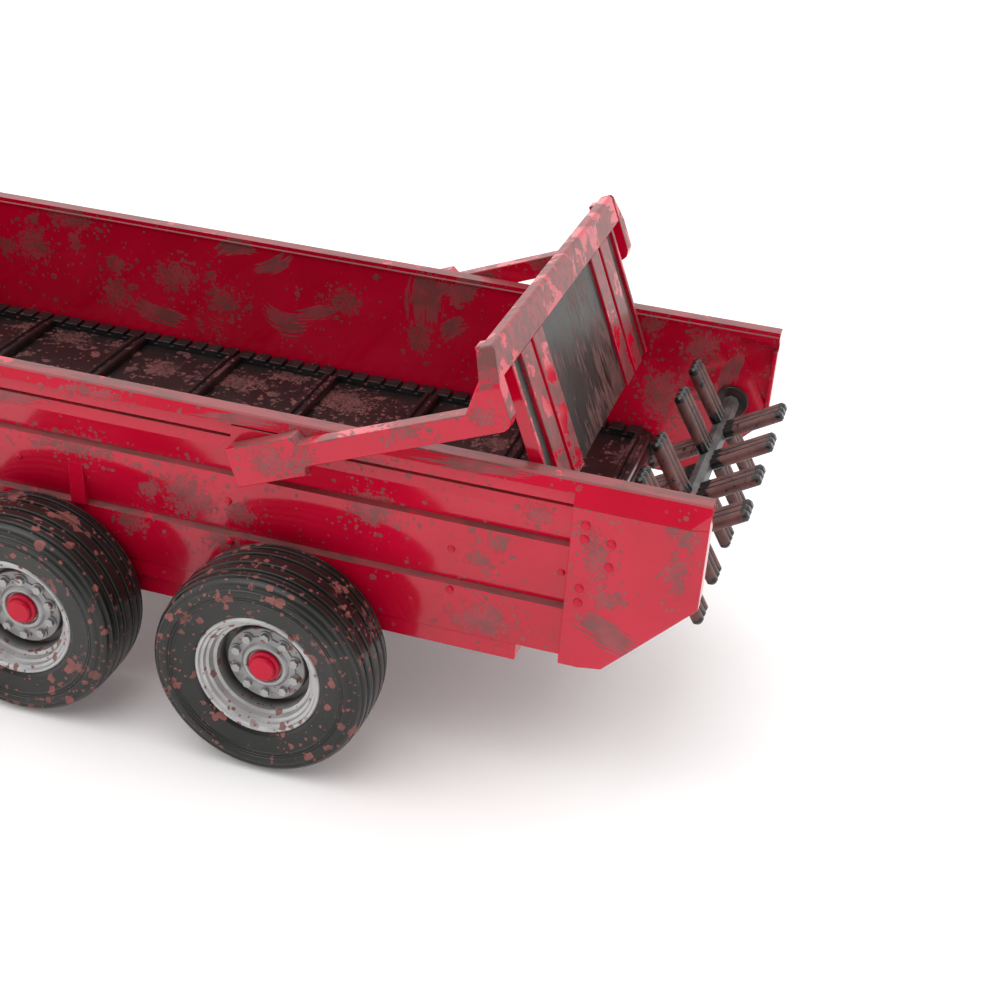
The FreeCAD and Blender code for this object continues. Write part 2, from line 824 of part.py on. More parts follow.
def gate_arm(name, side):
    """Pivot block, bar, gusset and shoulder in one, with a blind bore for its pin."""
    body = new_body()
    low, length = spread(side, "arm_inner", "arm_outer")
    face = [
        ("block_half", "block_foot"),
        ("block_half", "block_top"),
        ("-1 * block_half", "block_top"),
        ("-1 * block_half - 1.2", "arm_top"),
        ("cross_front + 6.8", "arm_top"),
        ("cross_front + 0.6", "cross_foot + 1.4"),
        ("cross_front + 0.2", "cross_top - 1.6"),
        ("cross_front - 1.0", "cross_top"),
        ("arm_end + 0.6", "cross_top"),
        ("arm_end", "cross_top - 1"),
        ("arm_end", "arm_foot + 3"),
        ("arm_end + 1.1", "arm_foot + 0.8"),
        ("arm_end + 2.8", "arm_foot"),
        ("-1 * block_half - 1.2", "arm_foot"),
        ("-1 * block_half", "block_foot"),
    ]
    pad(body, "XZ_Plane", polygon(face), low, length)
    corner = [
        ("arm_inner + 0.7", "cross_top + 1"),
        ("arm_inner + 0.7", "cross_top"),
        ("arm_outer", "cross_foot - 1"),
        ("arm_outer + 1", "cross_foot - 1"),
        ("arm_outer + 1", "cross_top + 1"),
    ]
    sloped = polygon(mirrored(corner, side))
    cut(body, "YZ_Plane", sloped, "arm_end - 1", "8 + cross_front - arm_end")
    bore_low, bore_length = spread(side, "arm_inner", "arm_outer - 1.5")
    cut(body, "XZ_Plane", disc("0", "0", "pin_radius + 0.06"), bore_low, bore_length)
    hang(body)
    keep(body, f"gate_arm_{name}")


def gate_crossbeam():
    body = new_body()
    face = [
        ("arm_end + 0.3", "cross_foot"),
        ("cross_front", "cross_foot"),
        ("cross_front", "cross_top - 1.2"),
        ("cross_front - 1.0", "cross_top"),
        ("arm_end + 1.1", "cross_top"),
        ("arm_end + 0.3", "cross_top - 0.8"),
    ]
    pad(body, "XZ_Plane", polygon(face), "-1 * arm_inner", "2 * arm_inner")
    for name, side in SIDES:
        low, length = spread(side, "gate_half + 1", "gate_half + 6")
        lug = block("cross_front - 0.5", "cross_top - 5", "cross_front + 1.6", "cross_top - 0.6")
        pad(body, "XZ_Plane", lug, low, length)
    hang(body)
    keep(body, "gate_crossbeam")


def gate_strip(label, pieces, depth_front, depth_rear):
    """Upright parts of the gate between two distances from its centre plane."""
    solids = []
    for low, length in pieces:
        body = new_body()
        rear = f"gate_plane - {depth_rear}"
        face = block(rear, "gate_foot", f"gate_plane + {depth_front}", "cross_foot")
        pad(body, "XZ_Plane", face, low, length)
        solids.append(hang(body))
    if len(solids) == 1:
        keep(solids[0], label)
        return
    group = doc.addObject("Part::Compound", "Compound")
    group.Links = solids
    keep(group, label)


def gate_post(name, side):
    """Upright channel with a groove down the middle of both faces."""
    body = new_body()
    low, length = spread(side, "panel_half", "post_outer")
    face = block("gate_plane - 1.4", "gate_foot", "gate_plane + 2.2", "cross_foot")
    pad(body, "XZ_Plane", face, low, length)
    middle = "( panel_half + post_outer ) / 2"
    low, length = spread(side, f"{middle} - 1.2", f"{middle} + 1.2")
    for start, end in (("gate_plane - 2", "gate_plane - 0.2"), ("gate_plane + 1.2", "gate_plane + 3")):
        slot = block(start, "gate_foot - 1", end, "cross_foot + 1")
        cut(body, "XZ_Plane", slot, low, length)
    hang(body)
    keep(body, f"gate_post_{name}")


# ---------------------------------------------------------------- beater
def beater_shaft():
    """Octagonal shaft with a round journal at each end."""
    body = new_body()
    corner = []
    for step in range(8):
        angle = math.radians(45 * step + 22.5)
        reach = 0.5 / math.cos(math.radians(22.5))
        across = f"shaft_flats * {reach * math.cos(angle):.6f}"
        corner.append((across, f"shaft_flats * {reach * math.sin(angle):.6f}"))
    half = "wall_inner - 2.4"
    pad(body, "XZ_Plane", polygon(corner), f"-1 * ( {half} )", f"2 * ( {half} )")
    length = "2 * ( wall_inner - 0.4 )"
    pad(body, "XZ_Plane", disc("0", "0", "journal_radius"), "-1 * ( wall_inner - 0.4 )", length)
    turn = Rotation(Vector(0, 1, 0), dim("beater_turn"))
    stand(body, "beater_x", "0", "beater_z", turn)
    keep(body, "beater_shaft")


def beater_bearings():
    """Flanged discs on the walls that carry the shaft's journals."""
    discs = []
    for name, side in SIDES:
        body = new_body()
        low, length = spread(side, "wall_inner - 2.0", "wall_inner")
        pad(body, "XZ_Plane", disc("0", "0", "bearing_radius"), low, length)
        cut(body, "XZ_Plane", disc("0", "0", "journal_radius + 0.06"), low, length)
        discs.append(stand(body, "beater_x", "0", "beater_z"))
    group = doc.addObject("Part::Compound", "Compound")
    group.Links = discs
    keep(group, "beater_bearings")


def paddle(angle, across):
    """Three round ribs side by side, standing out of the shaft at an angle."""
    turn = Rotation(Vector(0, 1, 0), -angle)
    out = turn.multVec(Vector(1, 0, 0))
    along = Rotation(Vector(0, 0, 1), out)
    ribs = []
    for step in (-1, 0, 1):
        y = f"{across} + {step} * rib_pitch"
        rib = doc.addObject("Part::Cylinder", "Rib")
        rib.setExpression("Radius", bound("rib_radius"))
        rib.setExpression("Height", bound("beater_reach - tip_taper - shaft_flats / 2"))
        x = f"beater_x + shaft_flats / 2 * {out.x:.6f}"
        z = f"beater_z + shaft_flats / 2 * {out.z:.6f}"
        stand(rib, x, y, z, along)
        tip = doc.addObject("Part::Cone", "Tip")
        tip.setExpression("Radius1", bound("rib_radius"))
        tip.setExpression("Radius2", bound("rib_radius - tip_taper"))
        tip.setExpression("Height", bound("tip_taper"))
        x = f"beater_x + ( beater_reach - tip_taper ) * {out.x:.6f}"
        z = f"beater_z + ( beater_reach - tip_taper ) * {out.z:.6f}"
        stand(tip, x, y, z, along)
        ribs += [rib, tip]
    return ribs


def paddle_row(label, angle, places):
    pieces = []
    for across in places:
        pieces += paddle(angle, across)
    group = doc.addObject("Part::MultiFuse", "Fusion")
    group.Shapes = pieces
    keep(group, label)


for side_name, side_sign in SIDES:
    side_wall(side_name, side_sign)
    end_plate(side_name, side_sign)
    apron_chain(side_name, side_sign)
    subframe_rail(side_name, side_sign)
    bogie_beam(side_name, side_sign)
    drawbar_beam(side_name, side_sign)
    gate_bracket(side_name, side_sign)
    gate_arm(side_name, side_sign)
    gate_post(side_name, side_sign)
    wheel(f"rear_{side_name}", "rear", side_sign)
    wheel(f"front_{side_name}", "front", side_sign)
front_panel()
side_posts()
rivets()
floor_pan()
for slat_number in range(1, 9):
    apron_slat(slat_number)
cross_members()
axle("rear", "0")
axle("front", "axle_gap")
tongue()
hitch_eye()
jack()
gate_pins()
gate_crossbeam()
gate_strip("gate_panel", [("-1 * panel_half", "2 * panel_half")], "1.4", "0.4")
gate_strip(
    "gate_side_panels",
    [spread(sign, "post_outer", "gate_half - 2") for name, sign in SIDES],
    "1.4",
    "0.2",
)
gate_strip(
    "gate_edges",
    [spread(sign, "gate_half - 2", "gate_half") for name, sign in SIDES],
    "2.6",
    "1.4",
)
beater_shaft()
beater_bearings()
# Four rows of paddles a quarter turn apart, stepped along the shaft from row to row.
rearward = 180 - dim("beater_turn")
quarter = dim("paddle_pitch") / 4
paddle_row("beater_paddles_a", rearward, [f"{quarter * step}" for step in (-6, -2, 2, 6)])
paddle_row("beater_paddles_b", rearward - 90, [f"{quarter * step}" for step in (-7, -3, 3, 7)])
paddle_row("beater_paddles_c", rearward - 180, [f"{quarter * step}" for step in (-5, -1, 1, 5)])
paddle_row("beater_paddles_d", rearward - 270, [f"{quarter * step}" for step in (-8, -4, 0, 4, 8)])

doc.recompute()

for item in doc.Objects:
    if "Invalid" in item.State or "Error" in item.State:
        raise RuntimeError(f"{item.Name} ({item.Label}) did not compute: {item.State}")
for piece in parts:
    if piece.Shape.isNull() or not piece.Shape.isValid() or not piece.Shape.Solids:
        raise RuntimeError(f"{piece.Label} has no valid shape")

os.makedirs("parts", exist_ok=True)
for piece in parts:
    piece.Shape.exportStep(f"parts/{piece.Label}.step")
box = parts[0].Shape.BoundBox
for piece in parts[1:]:
    box.add(piece.Shape.BoundBox)
print(len(parts), "sub-parts", box)
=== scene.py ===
import json
import math

import bmesh
import bpy
from mathutils import Matrix, Vector


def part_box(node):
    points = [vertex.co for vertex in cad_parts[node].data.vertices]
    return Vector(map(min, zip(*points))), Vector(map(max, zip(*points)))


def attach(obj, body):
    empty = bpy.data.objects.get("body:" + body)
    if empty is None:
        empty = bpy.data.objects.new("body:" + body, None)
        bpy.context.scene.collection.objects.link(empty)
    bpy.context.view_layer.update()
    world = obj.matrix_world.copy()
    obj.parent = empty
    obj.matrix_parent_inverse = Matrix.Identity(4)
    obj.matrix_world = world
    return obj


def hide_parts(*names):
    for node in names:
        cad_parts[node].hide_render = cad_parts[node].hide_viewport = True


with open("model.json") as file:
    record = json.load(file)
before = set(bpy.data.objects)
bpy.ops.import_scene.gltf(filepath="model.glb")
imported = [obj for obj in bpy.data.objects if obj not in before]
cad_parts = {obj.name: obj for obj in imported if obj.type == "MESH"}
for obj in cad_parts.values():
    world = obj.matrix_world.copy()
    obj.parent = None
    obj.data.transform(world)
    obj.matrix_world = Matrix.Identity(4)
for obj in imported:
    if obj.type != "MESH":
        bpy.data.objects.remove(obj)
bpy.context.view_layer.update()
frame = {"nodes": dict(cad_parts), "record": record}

MM = 0.001
NODES = frame["nodes"]
BODY_OF = {n: b for b, members in frame["record"]["behaviour"]["bodies"].items() for n in members}
SLOT_OF = {part["node"]: part["material_slot"] for part in frame["record"]["subparts"]}


def middle(node):
    """The centre of a CAD node's box."""
    low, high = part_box(node)
    return (low + high) / 2


REAR_AXLE = middle("axle_rear").x

# Measures of the CAD parts, in millimetres and degrees; the rows are parts of a paddle pitch.
GATE_RAISE = 22.0
GATE_FOOT = (REAR_AXLE / MM + 5.0, 0.0, 97.0)
PADDLE_PITCH = 23.4
RIB_PITCH = 3.35
PADDLE_ROWS = {"a": 0.5, "b": 0.25, "c": 0.75, "d": 0.0}
MOAT_FACE = 80.9
FLANGE_FACE = 86.4
FLOOR_TOP = 61.3
WALL_INSIDE = -61.6
STRAKE_FACE = 65.5
SKIRT_FACE = 64.0
RIM_FACE = 67.0
PLATE_FACE = 67.2
ARM_FACE = 71.0


# ---------------------------------------------------------------- materials
class Paint:
    """A material's node tree, with coordinates in millimetres fixed to the object."""

    def __init__(self, name):
        self.material = bpy.data.materials.new(name)
        self.material.use_nodes = True
        self.tree = self.material.node_tree
        self.tree.nodes.clear()
        self.shader = self.node("ShaderNodeBsdfPrincipled")
        output = self.node("ShaderNodeOutputMaterial")
        self.link(self.shader.outputs["BSDF"], output.inputs["Surface"])
        coordinates = self.node("ShaderNodeTexCoord")
        self.normal = coordinates.outputs["Normal"]
        self.place = self.vector("MULTIPLY", coordinates.outputs["Object"], (1000, 1000, 1000))

    def node(self, kind, **settings):
        """A new node with the given settings."""
        made = self.tree.nodes.new(kind)
        for key, value in settings.items():
            setattr(made, key, value)
        return made

    def link(self, source, target):
        self.tree.links.new(source, target)

    def feed(self, target, value):
        """Link a socket, or set a plain value."""
        if isinstance(value, bpy.types.NodeSocket):
            self.link(value, target)
        else:
            target.default_value = value

    def vector(self, operation, first, second):
        """Vector maths."""
        made = self.node("ShaderNodeVectorMath", operation=operation)
        self.feed(made.inputs[0], first)
        self.feed(made.inputs[1], second)
        return made.outputs["Vector"]

    def length(self, vector):
        made = self.node("ShaderNodeVectorMath", operation="LENGTH")
        self.link(vector, made.inputs[0])
        return made.outputs["Value"]

    def sum(self, operation, first, second=0.0):
        """Maths on two numbers."""
        made = self.node("ShaderNodeMath", operation=operation)
        self.feed(made.inputs[0], first)
        self.feed(made.inputs[1], second)
        return made.outputs[0]

    def split(self, vector):
        """A vector's three components."""
        made = self.node("ShaderNodeSeparateXYZ")
        self.link(vector, made.inputs[0])
        return made.outputs

    def noise(self, size, detail=3.0, rough=0.55, twist=0.0, place=None, seed=0.0):
        """Smooth noise whose features are about "size" millimetres across."""
        made = self.node("ShaderNodeTexNoise", noise_dimensions="4D")
        self.link(place or self.place, made.inputs["Vector"])
        made.inputs["W"].default_value = seed
        made.inputs["Scale"].default_value = 1 / size
        made.inputs["Detail"].default_value = detail
        made.inputs["Roughness"].default_value = rough
        made.inputs["Distortion"].default_value = twist
        return made.outputs["Fac"], made.outputs["Color"]

    def step(self, value, low, high, start=0.0, end=1.0):
        """Smooth step of a value from low to high."""
        made = self.node("ShaderNodeMapRange", interpolation_type="SMOOTHSTEP")
        self.feed(made.inputs["Value"], value)
        self.feed(made.inputs["From Min"], low)
        self.feed(made.inputs["From Max"], high)
        made.inputs["To Min"].default_value = start
        made.inputs["To Max"].default_value = end
        return made.outputs["Result"]

    def mix(self, share, first, second):
        """Colour mix."""
        made = self.node("ShaderNodeMix", data_type="RGBA")
        self.feed(made.inputs["Factor"], share)
        self.feed(made.inputs[6], first)
        self.feed(made.inputs[7], second)
        return made.outputs[2]

    def fade(self, share, first, second):
        """Mix of two numbers."""
        made = self.node("ShaderNodeMix", data_type="FLOAT")
        self.feed(made.inputs["Factor"], share)
        self.feed(made.inputs[2], first)
        self.feed(made.inputs[3], second)
        return made.outputs[0]

    def most(self, *values):
        """The largest of several values."""
        total = values[0]
        for value in values[1:]:
            total = self.sum("MAXIMUM", total, value)
        return total

    def within(self, centre, size, tilt=0.0, place=None):
        """Coordinates that run from -1 to 1 across an ellipsoid turned about Y."""
        made = self.node("ShaderNodeMapping", vector_type="TEXTURE")
        self.link(place or self.place, made.inputs["Vector"])
        made.inputs["Location"].default_value = centre
        made.inputs["Rotation"].default_value = (0, math.radians(tilt), 0)
        made.inputs["Scale"].default_value = size
        return made.outputs["Vector"]

    def bend(self, amount, size, seed=0.0):
        """Coordinates pushed about by noise, in millimetres."""
        push = self.vector("SUBTRACT", self.noise(size, 2.0, seed=seed)[1], (0.5, 0.5, 0.5))
        return self.vector("ADD", self.place, self.vector("MULTIPLY", push, (amount,) * 3))

    def dots(self, cell, share, seed, ragged=0.35):
        """Round spots, at most one in each cell, of random sizes up to "share" of it."""
        bent = self.bend(cell * ragged, cell * 0.5, seed)
        shifted = self.vector("ADD", bent, (seed * 13.7, seed * 7.1, seed * 3.3))
        made = self.node("ShaderNodeTexVoronoi", feature="F1")
        self.link(shifted, made.inputs["Vector"])
        made.inputs["Scale"].default_value = 1 / cell
        chance = self.split(made.outputs["Color"])[0]
        radius = self.sum("MULTIPLY", self.sum("POWER", chance, 4.0), share)
        inside = self.sum("SUBTRACT", radius, made.outputs["Distance"])
        return self.step(inside, 0.0, 0.04)

    def height(self, value, depth, reach=None):
        """A bump from a 0 to 1 value, "depth" millimetres high, after any earlier bump."""
        made = self.node("ShaderNodeBump")
        made.inputs["Strength"].default_value = 1.0
        made.inputs["Distance"].default_value = depth * MM
        self.link(value, made.inputs["Height"])
        if reach is not None:
            self.link(reach, made.inputs["Normal"])
        return made.outputs["Normal"]

    def set(self, **values):
        """Give the surface shader its inputs."""
        for key, value in values.items():
            self.feed(self.shader.inputs[key.replace("_", " ")], value)


# Linear colours in pairs, because no moulded or dirty surface is one flat tone.
RED = ((0.50, 0.0010, 0.022, 1), (0.59, 0.0012, 0.031, 1))
RED_MUD = ((0.33, 0.054, 0.064, 1), (0.20, 0.054, 0.052, 1))
RED_FILM = ((0.26, 0.038, 0.044, 1), (0.15, 0.042, 0.038, 1))
FLOOR_BLACK = ((0.010, 0.007, 0.007, 1), (0.035, 0.019, 0.018, 1))
FLOOR_MUD = ((0.150, 0.044, 0.042, 1), (0.090, 0.030, 0.028, 1))
CHAIN_BLACK = ((0.007, 0.009, 0.009, 1), (0.017, 0.020, 0.020, 1))
# The gate sheet's pair: a lighter grey-green that is a painted reflection, and a dark brown that is
# stain with painted shade.
GATE_GREY = ((0.024, 0.026, 0.023, 1), (0.010, 0.006, 0.006, 1))
GATE_MUD = ((0.155, 0.070, 0.062, 1), (0.10, 0.045, 0.040, 1))
PADDLE_BROWN = ((0.085, 0.031, 0.028, 1), (0.150, 0.060, 0.053, 1))
PADDLE_BLACK = (0.008, 0.008, 0.008, 1)
SHAFT_GREY = ((0.040, 0.043, 0.042, 1), (0.085, 0.088, 0.086, 1))
BEARING_BLACK = ((0.020, 0.010, 0.010, 1), (0.045, 0.020, 0.020, 1))
TYRE_BLACK = ((0.009, 0.010, 0.009, 1), (0.019, 0.019, 0.018, 1))
TYRE_MUD = ((0.30, 0.088, 0.078, 1), (0.20, 0.068, 0.060, 1))
SILVER = ((0.38, 0.38, 0.38, 1), (0.50, 0.50, 0.50, 1))
SILVER_MUD = ((0.23, 0.060, 0.050, 1), (0.16, 0.060, 0.045, 1))
SILVER_SHADE = (0.055, 0.048, 0.046, 1)
AXLE_STEEL = ((0.42, 0.42, 0.42, 1), (0.56, 0.56, 0.57, 1))
STUDIO_WHITE = ((0.86, 0.855, 0.85, 1), (0.90, 0.895, 0.89, 1))
STUDIO_GLOW = (1.0, 0.90, 0.90, 1)
ROOM_WHITE = (1.0, 0.995, 0.99, 1)


def mud_colour(paint):
    """Mud that is thinner and redder in some places."""
    tone = paint.noise(7.0, 4.0, seed=9.0)[0]
    return paint.mix(paint.step(tone, 0.40, 0.60), *RED_MUD)


def torn(paint, seed):
    """Noise at two scales, which frays the edge of a patch."""
    broad = paint.noise(3.2, 5.0, 0.75, 0.8, seed=seed)[0]
    fine = paint.noise(0.9, 3.0, 0.6, 0.4, seed=seed + 0.5)[0]
    return paint.sum("ADD", paint.sum("MULTIPLY", broad, 0.62), paint.sum("MULTIPLY", fine, 0.38))


def sponge(paint, size, amount, seed):
    """Scattered dabs with torn, speckled edges."""
    blob = paint.noise(size, 1.0, 0.5, 0.3, seed=seed)[0]
    field = paint.sum("ADD", blob, paint.sum("MULTIPLY", torn(paint, seed + 1.0), 0.70))
    edge = 1.12 - amount
    return paint.step(field, edge, edge + 0.012)


def dabs(paint, spots, seed, rough=5.0):
    """Wet dabs at chosen places: (x, y, z, half sizes x, y, z) from the rear axle."""
    place = paint.bend(3.0, 6.0, seed)
    nearest = None
    for x, y, z, wide, deep, tall in spots:
        inside = paint.within((REAR_AXLE / MM + x, y, z), (wide, deep, tall), 0.0, place)
        distance = paint.length(inside)
        nearest = distance if nearest is None else paint.sum("MINIMUM", nearest, distance)
    field = paint.sum("ADD", nearest, paint.sum("MULTIPLY", torn(paint, seed + 2.0), rough))
    solid = paint.step(field, 0.72 + 0.5 * rough, 0.80 + 0.5 * rough, 1.0, 0.0)
    scraped = paint.noise(0.7, 2.0, 0.6, 0.3, seed=seed + 6.0)[0]
    solid = paint.sum("MULTIPLY", solid, paint.step(scraped, 0.40, 0.50, 0.15, 1.0))
    halo = paint.step(nearest, 1.1, 2.2, 1.0, 0.0)
    specks = paint.sum("MULTIPLY", paint.dots(1.5, 0.75, seed + 5.0, 0.5), halo)
    return paint.most(solid, paint.step(specks, 0.3, 0.5))


def swipes(paint, strokes, seed):
    """Dry brush strokes, dense in the middle and combed at the ends.

    Each is (x, y, z, half length, half width, tilt, curve)."""
    total = None
    for number, (x, y, z, long, wide, tilt, curve) in enumerate(strokes):
        inside = paint.within((REAR_AXLE / MM + x, y, z), (long, 6.0, wide), tilt)
        along, through, across = paint.split(inside)
        sag = paint.sum("MULTIPLY", paint.sum("MULTIPLY", along, along), curve)
        across = paint.sum("ADD", across, sag)
        joined = paint.node("ShaderNodeCombineXYZ")
        paint.link(paint.sum("MULTIPLY", along, 0.7), joined.inputs[0])
        paint.link(paint.sum("MULTIPLY", across, 4.6), joined.inputs[1])
        paint.link(through, joined.inputs[2])
        hairs = paint.noise(1.0, 5.0, 0.68, 0.35, joined.outputs[0], seed + number)[0]
        fall = paint.sum("MULTIPLY", paint.sum("POWER", paint.sum("ABSOLUTE", along), 2.2), 0.30)
        rim = paint.sum("MULTIPLY", paint.sum("POWER", paint.sum("ABSOLUTE", across), 3.0), 0.34)
        off = paint.sum("MULTIPLY", paint.sum("POWER", paint.sum("ABSOLUTE", through), 8.0), 1.0)
        lost = paint.sum("ADD", paint.sum("ADD", fall, rim), off)
        mark = paint.step(paint.sum("SUBTRACT", hairs, lost), 0.39, 0.43)
        total = mark if total is None else paint.most(total, mark)
    return total


def splatter(paint, seed, fine=1.0, coarse=1.0):
    """Flicked drops of three sizes, thicker in some places than in others."""
    field = paint.step(paint.noise(45.0, 2.0, seed=seed)[0], 0.38, 0.60, 0.25, 1.0)
    small = paint.dots(1.9, 0.40 * fine, seed + 1.0)
    medium = paint.dots(5.0, 0.27 * coarse, seed + 2.0)
    large = paint.dots(15.0, 0.13 * coarse, seed + 3.0)
    return paint.step(paint.sum("MULTIPLY", paint.most(small, medium, large), field), 0.3, 0.5)


def finish_mud(paint, mask, colour, clean_rough, mud_rough, base_height=None, mud=None):
    """Lay a mud mask over a clean colour, with its own roughness and thickness."""
    grain = paint.noise(0.5, 3.0, 0.6, seed=5.0)[0]
    cover = paint.sum("MULTIPLY", mask, paint.step(grain, 0.2, 0.5, 0.84, 1.0))
    mud = mud or mud_colour(paint)
    rough = paint.fade(mask, clean_rough, mud_rough)
    paint.set(Base_Color=paint.mix(cover, colour, mud), Roughness=rough)
    ground = base_height if base_height is not None else paint.height(grain, 0.004)
    paint.set(Normal=paint.height(mask, 0.04, ground))


def red_plastic(name, amount, film, seed, spots=(), strokes=(), flecks=1.0, shine=0.46, slope=0.55):
    """Glossy moulded red, filmed over on its upward faces and dabbed elsewhere."""
    paint = Paint(name)
    tint = paint.noise(30.0, 2.0, seed=seed)[0]
    red = paint.mix(paint.step(tint, 0.3, 0.7), *RED)
    up = paint.step(paint.split(paint.normal)[2], slope, slope + 0.2)
    patchy = paint.noise(11.0, 5.0, 0.65, 0.5, seed=seed + 6.0)[0]
    filmed = paint.sum("MULTIPLY", up, paint.step(patchy, 0.70 - film, 0.73 - film))
    layers = [filmed, sponge(paint, 24.0, amount, seed), splatter(paint, seed, flecks, flecks)]
    if spots:
        layers.append(dabs(paint, spots, seed + 8.0))
    if strokes:
        layers.append(swipes(paint, strokes, seed + 12.0))
    streaky = paint.vector("MULTIPLY", paint.place, (0.16, 0.8, 0.8))
    wiped = paint.noise(3.0, 4.0, 0.6, 0.6, streaky, seed + 4.0)[0]
    dark = paint.sum("MULTIPLY", up, paint.step(wiped, 0.47, 0.56))
    film_colour = paint.mix(dark, *RED_FILM)
    mud = paint.mix(up, mud_colour(paint), film_colour)
    wave = paint.noise(14.0, 1.0, seed=seed + 3.0)[0]
    finish_mud(paint, paint.most(*layers), red, 0.13, 0.46, paint.height(wave, 0.02), mud)
    paint.set(Coat_Weight=0.1, Coat_Roughness=0.08, Specular_IOR_Level=shine)
    return paint.material


def black_plastic():
    """Black slatted floor with drips of mud and dabbed brown patches."""
    paint = Paint("floor_black")
    stain = paint.noise(22.0, 4.0, 0.65, seed=2.0)[0]
    dusty = paint.step(stain, 0.42, 0.66, 0.0, 0.35)
    base = paint.mix(dusty, *FLOOR_BLACK)
    up = paint.step(paint.split(paint.normal)[2], 0.5, 0.8, 0.1, 1.0)
    drops = paint.most(splatter(paint, 33.0, 1.25, 1.15), dabs(paint, FLOOR_DABS, 35.0, 6.0))
    specks = sponge(paint, 7.0, 0.11, 37.0)
    mask = paint.sum("MULTIPLY", paint.most(drops, specks), up)
    tone = paint.noise(6.0, 3.0, seed=39.0)[0]
    mud = paint.mix(paint.step(tone, 0.4, 0.6), *FLOOR_MUD)
    finish_mud(paint, mask, base, 0.34, 0.6, None, mud)
    return paint.material


def black_chain():
    """Chain links: plain black with a faint cold sheen and a few specks."""
    paint = Paint("chain_black")
    wear = paint.noise(8.0, 3.0, seed=44.0)[0]
    base = paint.mix(paint.step(wear, 0.4, 0.7), *CHAIN_BLACK)
    finish_mud(paint, paint.sum("MULTIPLY", splatter(paint, 46.0, 0.9, 0.7), 0.6), base, 0.32, 0.6)
    return paint.material


def grey_panel():
    """Dark grey gate sheet, painted lighter grey-green towards its top and near side as a painted
    reflection and dark brown towards its bottom and far side over brown stain, wiped downwards with
    thin brown mud towards one edge.
    """
    paint = Paint("gate_grey")
    level = paint.within(GATE_FOOT, (1.0, 1.0, 1.0), GATE_RAISE)
    across = paint.split(level)[1]
    rise = paint.split(level)[2]
    wipe_place = paint.vector("MULTIPLY", level, (1.0, 1.0, 0.13))
    wipe = paint.noise(1.5, 5.0, 0.66, 0.35, wipe_place, 3.0)[0]
    zone = paint.noise(17.0, 2.0, seed=8.0)[0]
    # This field places both the painted reflection gradient and the mud: it falls towards the top
    # and the near (+Y) side.
    sheen_and_dirt = paint.sum("ADD", zone, paint.sum("MULTIPLY", across, -0.0040))
    sheen_and_dirt = paint.sum("ADD", sheen_and_dirt, paint.sum("MULTIPLY", rise, -0.0030))
    drag = paint.sum("ADD", wipe, paint.sum("MULTIPLY", sheen_and_dirt, 0.55))
    mask = paint.most(paint.step(drag, 0.82, 0.86), splatter(paint, 14.0, 0.9, 0.4))
    # Painted reflection and stain: the sheet goes from lighter grey-green at the top and near side
    # to dark brown at the bottom and far side.
    stain = paint.step(sheen_and_dirt, 0.40, 0.72)
    grey = paint.mix(stain, *GATE_GREY)
    tone = paint.noise(6.0, 3.0, seed=19.0)[0]
    mud = paint.mix(paint.step(tone, 0.4, 0.6), *GATE_MUD)
    finish_mud(paint, paint.sum("MULTIPLY", mask, 0.8), grey, 0.34, 0.55, None, mud)
    paint.set(Specular_IOR_Level=0.22)
    return paint.material


def brown_paddles(row):
    """Black beater ribs coated in brown, with painted shade in black along their grooves, and left
    black at their tips.
    """
    paint = Paint(f"paddle_brown_{row}")
    offset = PADDLE_ROWS[row] * PADDLE_PITCH
    axis = middle("beater_shaft") / MM
    sideways = paint.split(paint.place)[1]
    shifted = paint.sum("ADD", sideways, 10.5 * PADDLE_PITCH - offset)
    turn = paint.sum("SUBTRACT", paint.sum("MODULO", shifted, PADDLE_PITCH), PADDLE_PITCH / 2)
    # Painted shade: the grooves between the ribs are painted black.
    gap = paint.sum("ABSOLUTE", paint.sum("SUBTRACT", paint.sum("ABSOLUTE", turn), RIB_PITCH / 2))
    ragged = paint.noise(2.2, 4.0, 0.65, 0.3, seed=6.0)[0]
    edge = paint.sum("SUBTRACT", gap, paint.sum("MULTIPLY", ragged, 0.5))
    groove_shade = paint.step(edge, 0.22, 0.36, 1.0, 0.0)
    arm = paint.vector("SUBTRACT", paint.place, (axis.x, 0.0, axis.z))
    reach = paint.length(paint.vector("MULTIPLY", arm, (1.0, 0.0, 1.0)))
    worn = paint.sum("ADD", reach, paint.sum("MULTIPLY", ragged, 7.0))
    tip = paint.step(worn, 24.6, 25.4)
    root = paint.step(worn, 9.0, 10.5, 1.0, 0.0)
    along = paint.vector("MULTIPLY", paint.place, (1.0, 0.35, 1.0))
    scrape = paint.noise(2.6, 4.0, 0.65, 0.3, along, 7.0)[0]
    bare = paint.step(scrape, 0.60, 0.64)
    tone = paint.noise(5.0, 3.0, seed=4.0)[0]
    brown = paint.mix(paint.step(tone, 0.35, 0.65), *PADDLE_BROWN)
    black = paint.most(groove_shade, tip, root, bare)
    paint.set(Base_Color=paint.mix(black, brown, PADDLE_BLACK))
    paint.set(Roughness=paint.fade(black, 0.5, 0.24), Normal=paint.height(scrape, 0.06))
    return paint.material


def grey_shaft():
    """Worn grey shaft with smeared mud."""
    paint = Paint("shaft_grey")
    mask = paint.sum("MULTIPLY", sponge(paint, 10.0, 0.13, 51.0), 0.7)
    wear = paint.noise(6.0, 3.0, seed=52.0)[0]
    grey = paint.mix(paint.step(wear, 0.4, 0.6), *SHAFT_GREY)
    finish_mud(paint, mask, grey, 0.38, 0.6)
    return paint.material


def bearing_black():
    """Black bearing flange, dulled by mud."""
    paint = Paint("bearing_black")
    wear = paint.noise(6.0, 3.0, seed=55.0)[0]
    base = paint.mix(paint.step(wear, 0.4, 0.6), *BEARING_BLACK)
    finish_mud(paint, paint.sum("MULTIPLY", sponge(paint, 9.0, 0.10, 56.0), 0.5), base, 0.35, 0.6)
    return paint.material


